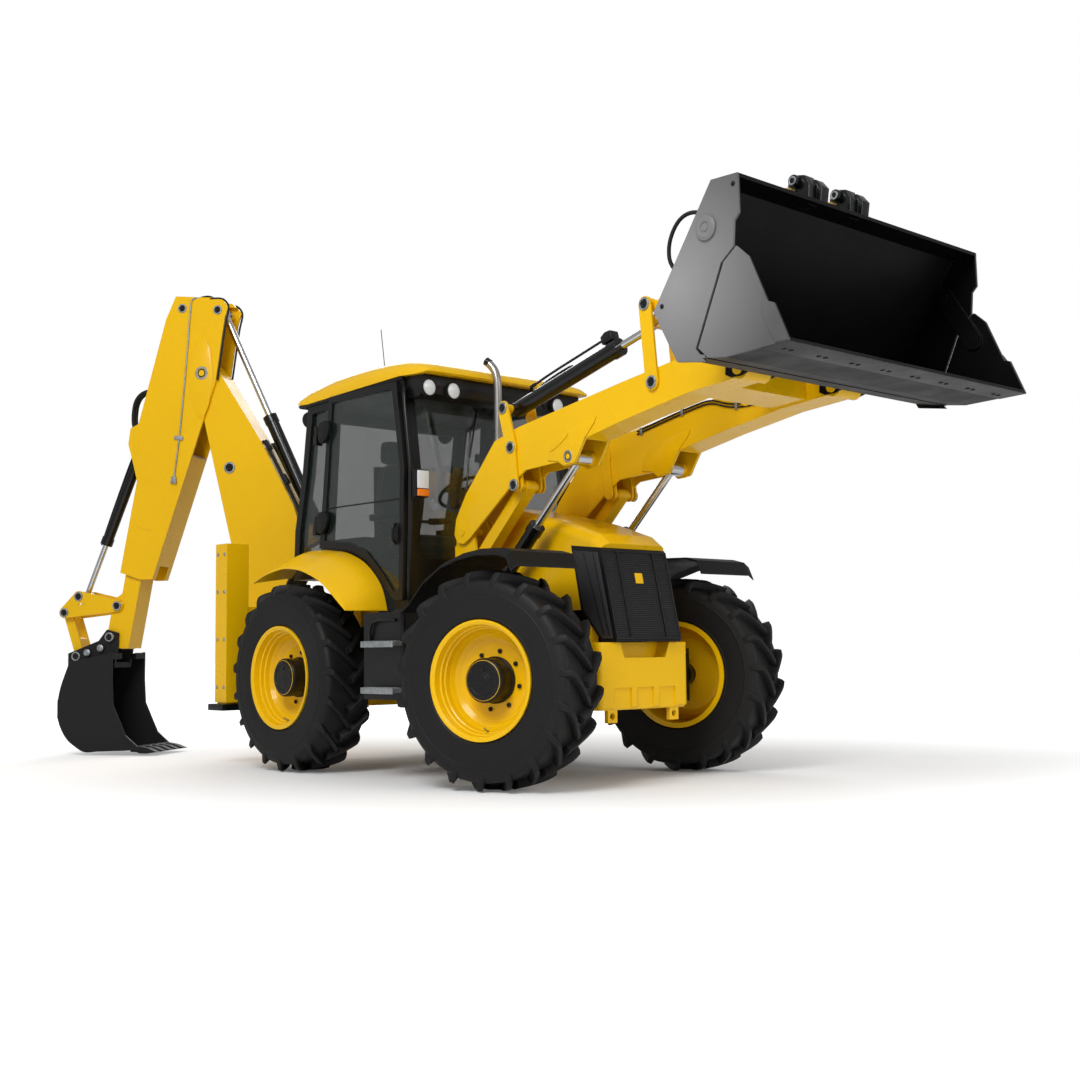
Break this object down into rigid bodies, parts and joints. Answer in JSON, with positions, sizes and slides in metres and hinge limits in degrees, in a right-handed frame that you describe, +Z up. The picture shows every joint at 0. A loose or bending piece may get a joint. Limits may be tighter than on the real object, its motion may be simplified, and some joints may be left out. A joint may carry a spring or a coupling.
{
  "type": "backhoe loader",
  "caption": "Yellow backhoe loader with equal-size wheels, raised two-piece front shovel, glazed cab, sliding stabiliser legs and a side-shifting backhoe slewed to its right.",
  "frame": {"origin": "bottom centre of the parked machine's bounding box, on the ground", "axes": "+X towards the loader shovel, +Y to the machine's left, +Z up"},
  "size_m": [8.2257, 2.863, 4.1048],
  "materials": {
    "paint_yellow": "gloss",
    "paint_black": "satin",
    "cast_dark": "matte",
    "plastic_black": "matte",
    "glass": "gloss",
    "fabric": "matte",
    "chrome": "gloss",
    "lamp_glass": "gloss",
    "grille_black": "satin",
    "ram_black": "gloss",
    "shovel_grey": "satin",
    "tyre": "matte"
  },
  "bodies": {
    "chassis": {"main_frame": "paint_yellow", "engine_block": "cast_dark", "axles": "paint_black", "ballast": "paint_yellow", "side_tanks": "paint_black", "rear_fenders": "paint_yellow", "front_mudguards": "plastic_black", "cab_frame": "paint_black", "cab_glass": "glass", "cab_roof": "paint_yellow", "cab_interior": "plastic_black", "exhaust": "chrome", "lamps": "lamp_glass", "cowl": "paint_yellow"},
    "seat": {"seat": "fabric"},
    "bonnet": {"bonnet": "paint_yellow", "grille": "grille_black"},
    "door_right": {"door_right": "paint_black", "door_glass_right": "glass"},
    "door_left": {"door_left": "paint_black", "door_glass_left": "glass"},
    "arms": {"loader_arms": "paint_yellow"},
    "cranks": {"bell_cranks": "paint_yellow"},
    "levelling_links": {"levelling_links": "paint_yellow"},
    "lift_barrels": {"lift_barrels": "ram_black"},
    "lift_rods": {"lift_rods": "chrome"},
    "crowd_barrels": {"crowd_barrels": "ram_black"},
    "crowd_rods": {"crowd_rods": "chrome"},
    "tipping_levers": {"tipping_levers": "paint_yellow"},
    "tipping_links": {"tipping_links": "paint_yellow"},
    "shovel": {"shovel_back": "shovel_grey"},
    "clam": {"shovel_clam": "shovel_grey"},
    "carriage": {"carriage": "paint_yellow"},
    "kingpost": {"kingpost": "paint_yellow"},
    "boom": {"boom": "paint_yellow"},
    "boom_ram_barrel": {"boom_ram_barrel": "ram_black"},
    "boom_ram_rod": {"boom_ram_rod": "chrome"},
    "dipper": {"dipper": "paint_yellow"},
    "dipper_ram_barrel": {"dipper_ram_barrel": "ram_black"},
    "dipper_ram_rod": {"dipper_ram_rod": "chrome"},
    "extension": {"dipper_extension": "paint_yellow"},
    "bucket_ram_barrel": {"bucket_ram_barrel": "ram_black"},
    "bucket_ram_rod": {"bucket_ram_rod": "chrome"},
    "bucket_levers": {"bucket_levers": "paint_yellow"},
    "bucket_link": {"bucket_link": "paint_yellow"},
    "backhoe_bucket": {"backhoe_bucket": "shovel_grey"},
    "stabiliser_right": {"stabiliser_right": "paint_yellow"},
    "stabiliser_left": {"stabiliser_left": "paint_yellow"},
    "knuckle_front_right": {"knuckle_front_right": "paint_black"},
    "wheel_front_right": {"tyre_front_right": "tyre", "rim_front_right": "paint_yellow"},
    "knuckle_front_left": {"knuckle_front_left": "paint_black"},
    "wheel_front_left": {"tyre_front_left": "tyre", "rim_front_left": "paint_yellow"},
    "knuckle_rear_right": {"knuckle_rear_right": "paint_black"},
    "wheel_rear_right": {"tyre_rear_right": "tyre", "rim_rear_right": "paint_yellow"},
    "knuckle_rear_left": {"knuckle_rear_left": "paint_black"},
    "wheel_rear_left": {"tyre_rear_left": "tyre", "rim_rear_left": "paint_yellow"}
  },
  "joints": [
    {"name": "lift", "type": "hinge", "parent": "chassis", "child": "arms", "pos_m": [0.7178, 0.1015, 1.74], "axis": [0, -1, 0], "range_deg": [-52.5, 22]},
    {"name": "crank_level", "type": "hinge", "parent": "arms", "child": "cranks", "pos_m": [1.2678, 0.1015, 2.281], "axis": [0, -1, 0], "range_deg": [-22.5, 53]},
    {"name": "link_level", "type": "hinge", "parent": "chassis", "child": "levelling_links", "pos_m": [0.7478, 0.1015, 1.477], "axis": [0, -1, 0], "range_deg": [-53, 22.5]},
    {"name": "lift_ram_swing", "type": "hinge", "parent": "chassis", "child": "lift_barrels", "pos_m": [0.7798, 0.1015, 1.147], "axis": [0, -1, 0], "range_deg": [-43, 19]},
    {"name": "lift_ram", "type": "slide", "parent": "lift_barrels", "child": "lift_rods", "axis": [0.715, 0, 0.6991], "range_m": [-0.48, 0.22]},
    {"name": "crowd", "type": "hinge", "parent": "arms", "child": "shovel", "pos_m": [3.2728, 0.1015, 2.52], "axis": [0, 1, 0], "range_deg": [-38, 45]},
    {"name": "lever_swing", "type": "hinge", "parent": "arms", "child": "tipping_levers", "pos_m": [2.5878, 0.1015, 2.543], "axis": [0, 1, 0], "range_deg": [-37, 43]},
    {"name": "tipping_link_swing", "type": "hinge", "parent": "tipping_levers", "child": "tipping_links", "pos_m": [2.5378, 0.1015, 3.043], "axis": [0, 1, 0], "range_deg": [-44, 38]},
    {"name": "crowd_ram_swing", "type": "hinge", "parent": "cranks", "child": "crowd_barrels", "pos_m": [1.1898, 0.1015, 2.562], "axis": [0, -1, 0], "range_deg": [-50.5, 22]},
    {"name": "crowd_ram", "type": "slide", "parent": "crowd_barrels", "child": "crowd_rods", "axis": [0.9622, 0, 0.2722], "range_m": [-0.24, 0.28]},
    {"name": "clam_open", "type": "hinge", "parent": "shovel", "child": "clam", "pos_m": [3.5778, 0.1015, 3.17], "axis": [0, -1, 0], "range_deg": [0, 55]},
    {"name": "steer_front_right", "type": "hinge", "parent": "chassis", "child": "knuckle_front_right", "pos_m": [1.5078, -0.6985, 0.705], "axis": [0, 0, 1], "range_deg": [-31.8, 2.2]},
    {"name": "steer_front_left", "type": "hinge", "parent": "chassis", "child": "knuckle_front_left", "pos_m": [1.5078, 0.9015, 0.705], "axis": [0, 0, 1], "range_deg": [-31.8, 2.2]},
    {"name": "steer_rear_right", "type": "hinge", "parent": "chassis", "child": "knuckle_rear_right", "pos_m": [-0.7122, -0.6985, 0.705], "axis": [0, 0, 1], "range_deg": [-17, 17]},
    {"name": "steer_rear_left", "type": "hinge", "parent": "chassis", "child": "knuckle_rear_left", "pos_m": [-0.7122, 0.9015, 0.705], "axis": [0, 0, 1], "range_deg": [-17, 17]},
    {"name": "roll_front_right", "type": "hinge", "parent": "knuckle_front_right", "child": "wheel_front_right", "pos_m": [1.55378, -0.87253, 0.705], "axis": [-0.2554, 0.9668, 0], "continuous": true},
    {"name": "roll_front_left", "type": "hinge", "parent": "knuckle_front_left", "child": "wheel_front_left", "pos_m": [1.46182, 1.07553, 0.705], "axis": [-0.2554, 0.9668, 0], "continuous": true},
    {"name": "roll_rear_right", "type": "hinge", "parent": "knuckle_rear_right", "child": "wheel_rear_right", "pos_m": [-0.7122, -0.8785, 0.705], "axis": [0, 1, 0], "continuous": true},
    {"name": "roll_rear_left", "type": "hinge", "parent": "knuckle_rear_left", "child": "wheel_rear_left", "pos_m": [-0.7122, 1.0815, 0.705], "axis": [0, 1, 0], "continuous": true},
    {"name": "open_door_right", "type": "hinge", "parent": "chassis", "child": "door_right", "pos_m": [-0.7122, -0.7485, 2], "axis": [0, 0, -1], "range_deg": [0, 90]},
    {"name": "open_door_left", "type": "hinge", "parent": "chassis", "child": "door_left", "pos_m": [-0.7122, 0.9515, 2], "axis": [0, 0, 1], "range_deg": [0, 90]},
    {"name": "open_bonnet", "type": "hinge", "parent": "chassis", "child": "bonnet", "pos_m": [0.7881, 0.1015, 1.925], "axis": [0, -1, 0], "range_deg": [0, 50]},
    {"name": "turn_seat", "type": "hinge", "parent": "chassis", "child": "seat", "pos_m": [-0.5622, 0.1015, 1.7], "axis": [0, 0, 1], "range_deg": [0, 180]},
    {"name": "sideshift", "type": "slide", "parent": "chassis", "child": "carriage", "axis": [0, 1, 0], "range_m": [-0.55, 0.55]},
    {"name": "slew", "type": "hinge", "parent": "carriage", "child": "kingpost", "pos_m": [-2.0722, 0.1015, 0.835], "axis": [0, 0, 1], "range_deg": [-124.5, 55.5]},
    {"name": "raise_boom", "type": "hinge", "parent": "kingpost", "child": "boom", "pos_m": [-2.36064, -0.09674, 0.85], "axis": [-0.5664, 0.8241, 0], "range_deg": [-100, 8]},
    {"name": "boom_ram_swing", "type": "hinge", "parent": "kingpost", "child": "boom_ram_barrel", "pos_m": [-2.50075, -0.19303, 0.56], "axis": [-0.5664, 0.8241, 0], "range_deg": [-97, 8]},
    {"name": "boom_ram", "type": "slide", "parent": "boom_ram_barrel", "child": "boom_ram_rod", "axis": [-0.0803, -0.0552, 0.9952], "range_m": [-0.52, 0.05]},
    {"name": "close_dipper", "type": "hinge", "parent": "boom", "child": "dipper", "pos_m": [-2.87655, -0.45131, 3.39], "axis": [0.5664, -0.8241, 0], "range_deg": [-113, 5]},
    {"name": "dipper_ram_swing", "type": "hinge", "parent": "boom", "child": "dipper_ram_barrel", "pos_m": [-1.98567, 0.16097, 1.93], "axis": [0.5664, -0.8241, 0], "range_deg": [-2, 1]},
    {"name": "dipper_ram", "type": "slide", "parent": "dipper_ram_barrel", "child": "dipper_ram_rod", "axis": [-0.3444, -0.2367, 0.9085], "range_m": [-1, 0.05]},
    {"name": "extend_dipper", "type": "slide", "parent": "dipper", "child": "extension", "axis": [-0.1525, -0.1048, -0.9827], "range_m": [0, 1.2]},
    {"name": "open_bucket", "type": "hinge", "parent": "extension", "child": "backhoe_bucket", "pos_m": [-3.58694, -0.93955, 1.043], "axis": [-0.5664, 0.8241, 0], "range_deg": [-60, 90]},
    {"name": "bucket_lever_swing", "type": "hinge", "parent": "extension", "child": "bucket_levers", "pos_m": [-3.54244, -0.90897, 1.322], "axis": [-0.5664, 0.8241, 0], "range_deg": [-46, 68]},
    {"name": "bucket_link_swing", "type": "hinge", "parent": "backhoe_bucket", "child": "bucket_link", "pos_m": [-3.87127, -1.13496, 0.874], "axis": [-0.5664, 0.8241, 0], "range_deg": [-66, 45]},
    {"name": "bucket_ram_swing", "type": "hinge", "parent": "extension", "child": "bucket_ram_barrel", "pos_m": [-3.3908, -0.80475, 2.838], "axis": [-0.5664, 0.8241, 0], "range_deg": [-4, 3]},
    {"name": "bucket_ram", "type": "slide", "parent": "bucket_ram_barrel", "child": "bucket_ram_rod", "axis": [-0.3064, -0.2105, -0.9283], "range_m": [-0.41, 0.28]},
    {"name": "lower_stabiliser_right", "type": "slide", "parent": "chassis", "child": "stabiliser_right", "axis": [0, 0, -1], "range_m": [0, 0.6]},
    {"name": "lower_stabiliser_left", "type": "slide", "parent": "chassis", "child": "stabiliser_left", "axis": [0, 0, -1], "range_m": [0, 0.6]}
  ],
  "couplings": [
    {"joint": "crank_level", "follows": "lift", "ratio": -1},
    {"joint": "link_level", "follows": "lift", "ratio": 1},
    {"joint": "lift_ram_swing", "follows": "lift", "ratio": 0.81},
    {"joint": "lift_ram", "follows": "lift", "m_per_rad": 0.505},
    {"joint": "lever_swing", "follows": "crowd", "ratio": 0.935},
    {"joint": "tipping_link_swing", "follows": "crowd", "ratio": -0.95},
    {"joint": "crowd_ram_swing", "follows": "lift", "ratio": 0.95},
    {"joint": "crowd_ram", "follows": "crowd", "m_per_rad": 0.34},
    {"joint": "steer_front_left", "follows": "steer_front_right", "ratio": 1},
    {"joint": "steer_rear_left", "follows": "steer_rear_right", "ratio": 1},
    {"joint": "boom_ram_swing", "follows": "raise_boom", "ratio": 0.957},
    {"joint": "boom_ram", "follows": "raise_boom", "m_per_rad": 0.29},
    {"joint": "dipper_ram_swing", "follows": "close_dipper", "ratio": 0.01},
    {"joint": "dipper_ram", "follows": "close_dipper", "m_per_rad": 0.49},
    {"joint": "bucket_lever_swing", "follows": "open_bucket", "ratio": 0.735},
    {"joint": "bucket_link_swing", "follows": "open_bucket", "ratio": -0.72},
    {"joint": "bucket_ram_swing", "follows": "open_bucket", "ratio": -0.03},
    {"joint": "bucket_ram", "follows": "open_bucket", "m_per_rad": -0.25}
  ]
}
